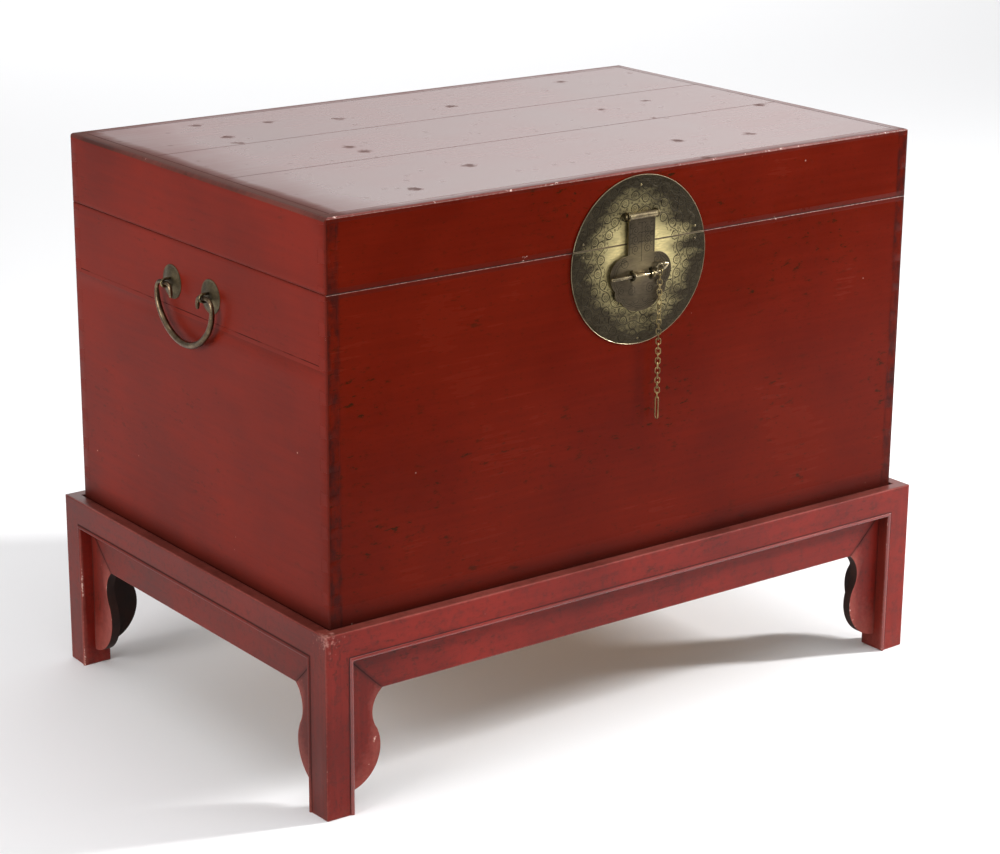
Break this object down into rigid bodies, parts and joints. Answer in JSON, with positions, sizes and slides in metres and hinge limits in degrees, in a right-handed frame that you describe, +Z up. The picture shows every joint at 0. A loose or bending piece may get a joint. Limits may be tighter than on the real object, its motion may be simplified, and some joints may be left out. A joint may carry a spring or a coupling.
{
  "type": "trunk on stand",
  "caption": "Red lacquered wooden trunk with a hinged lid, round brass lock plate, hasp, chained lock pin and bail handles, seated on a low stand with bracketed legs.",
  "frame": {"origin": "on the floor, under the middle of the stand", "axes": "+X along the front to the viewer's right, +Y to the back, +Z up"},
  "size_m": [0.837, 0.558, 0.636],
  "materials": {
    "trunk_lacquer": "worn gloss lacquer",
    "stand_lacquer": "worn satin lacquer",
    "bare_wood": "unfinished",
    "aged_brass": "aged, rubbed bright"
  },
  "bodies": {
    "stand": {"apron_back": "stand_lacquer", "apron_front": "stand_lacquer", "apron_left": "stand_lacquer", "apron_right": "stand_lacquer", "bracket_back_a": "stand_lacquer", "bracket_back_b": "stand_lacquer", "bracket_front_a": "stand_lacquer", "bracket_front_b": "stand_lacquer", "bracket_left_a": "stand_lacquer", "bracket_left_b": "stand_lacquer", "bracket_right_a": "stand_lacquer", "bracket_right_b": "stand_lacquer", "leg_back_left": "stand_lacquer", "leg_back_right": "stand_lacquer", "leg_front_left": "stand_lacquer", "leg_front_right": "stand_lacquer", "rail_back": "stand_lacquer", "rail_front": "stand_lacquer", "rail_left": "stand_lacquer", "rail_right": "stand_lacquer"},
    "trunk": {"back_board": "trunk_lacquer", "bottom_plank_back": "bare_wood", "bottom_plank_front": "bare_wood", "bottom_plank_middle": "bare_wood", "front_board": "trunk_lacquer", "handle_eyes": "aged_brass", "handle_rosettes": "aged_brass", "hinge_leaves_lower": "aged_brass", "hinge_pins": "aged_brass", "left_end_lower": "trunk_lacquer", "left_end_upper": "trunk_lacquer", "lock_plate_lower": "aged_brass", "lock_staples": "aged_brass", "right_end_lower": "trunk_lacquer", "right_end_upper": "trunk_lacquer"},
    "lid": {"hasp_rod": "aged_brass", "hasp_rod_loops": "aged_brass", "hinge_leaves_upper": "aged_brass", "lid_back_board": "trunk_lacquer", "lid_front_board": "trunk_lacquer", "lid_left_board": "trunk_lacquer", "lid_plank_back": "trunk_lacquer", "lid_plank_front": "trunk_lacquer", "lid_plank_middle": "trunk_lacquer", "lid_right_board": "trunk_lacquer", "lock_plate_upper": "aged_brass"},
    "hasp": {"hasp": "aged_brass"},
    "lock_pin": {"lock_pin": "aged_brass"},
    "chain_upper": {"chain_upper": "aged_brass"},
    "chain_lower": {"chain_lower": "aged_brass", "chain_end_loop": "aged_brass"},
    "bail_left": {"bail_left": "aged_brass"},
    "bail_right": {"bail_right": "aged_brass"}
  },
  "joints": [
    {"name": "trunk_lift", "type": "slide", "parent": "stand", "child": "trunk", "axis": [0, 0, 1], "range_m": [0, 0.12]},
    {"name": "lid_hinge", "type": "hinge", "parent": "trunk", "child": "lid", "pos_m": [0, 0.2651, 0.5575], "axis": [-1, 0, 0], "range_deg": [0, 105]},
    {"name": "hasp_swing", "type": "hinge", "parent": "lid", "child": "hasp", "pos_m": [0, -0.2661, 0.588], "axis": [-1, 0, 0], "range_deg": [0, 170]},
    {"name": "lock_pin_slide", "type": "slide", "parent": "trunk", "child": "lock_pin", "axis": [1, 0, 0], "range_m": [0, 0.065]},
    {"name": "chain_swing", "type": "hinge", "parent": "lock_pin", "child": "chain_upper", "pos_m": [0.024, -0.2685, 0.5256], "axis": [0, 1, 0], "range_deg": [-60, 12]},
    {"name": "chain_bend", "type": "hinge", "parent": "chain_upper", "child": "chain_lower", "pos_m": [0.024, -0.2685, 0.4799], "axis": [-1, 0, 0], "range_deg": [0, 80]},
    {"name": "bail_left_swing", "type": "hinge", "parent": "trunk", "child": "bail_left", "pos_m": [-0.4095, 0, 0.51], "axis": [0, 1, 0], "range_deg": [0, 170]},
    {"name": "bail_right_swing", "type": "hinge", "parent": "trunk", "child": "bail_right", "pos_m": [0.4095, 0, 0.51], "axis": [0, -1, 0], "range_deg": [0, 170]}
  ]
}
